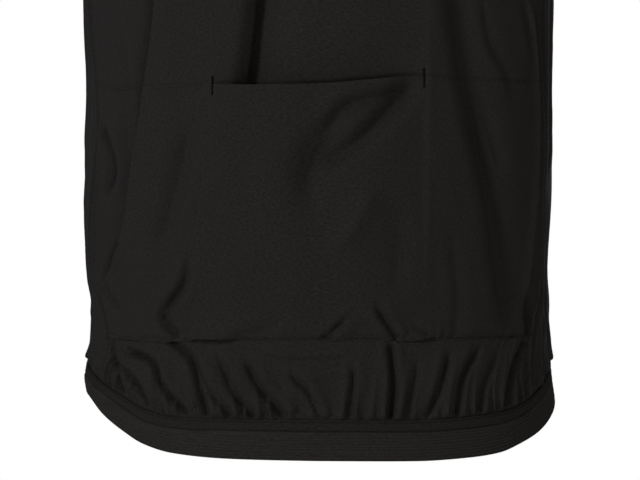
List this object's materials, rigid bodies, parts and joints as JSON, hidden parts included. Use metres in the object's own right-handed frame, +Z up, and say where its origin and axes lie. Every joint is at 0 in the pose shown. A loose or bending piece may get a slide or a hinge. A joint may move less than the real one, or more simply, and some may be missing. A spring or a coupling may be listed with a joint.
{
  "type": "sleeveless cycling vest",
  "caption": "Hollow worn-shape sleeveless cycling vest of thin black windproof cloth, with a back pocket, gathered tail, elastic hem, collar and front zip.",
  "frame": {"origin": "between the shoulders, at the height where the shoulder seams meet the neck, where a wearer's shoulders hold the vest up", "axes": "+Z up, +Y out of the back with its pocket, -Y out of the front zip, -X towards the wearer's right"},
  "size_m": [0.396, 0.2542, 0.7305],
  "materials": {
    "windproof_cloth": "thin black plain weave with a soft sheen",
    "hem_elastic": "black woven elastic with fine lengthwise ribs, matte",
    "edge_binding": "black folded elastic tape, matte",
    "zip_plastic": "black coil zip on a woven tape",
    "zip_metal": "black coated slider, satin"
  },
  "bodies": {
    "root": {"back": "windproof_cloth", "back_pocket": "windproof_cloth", "back_tail": "windproof_cloth", "front_left": "windproof_cloth", "front_right": "windproof_cloth", "hem_band": "hem_elastic", "collar": "windproof_cloth", "binding_left": "edge_binding", "binding_right": "edge_binding", "zip_tape": "zip_plastic", "zip_slider": "zip_metal"},
    "pull": {"zip_pull": "zip_metal"}
  },
  "joints": [
    {"name": "pull_swing", "type": "hinge", "parent": "root", "child": "pull", "pos_m": [0, -0.08594, -0.03601], "axis": [-1, 0, 0], "range_deg": [0, 150]}
  ]
}
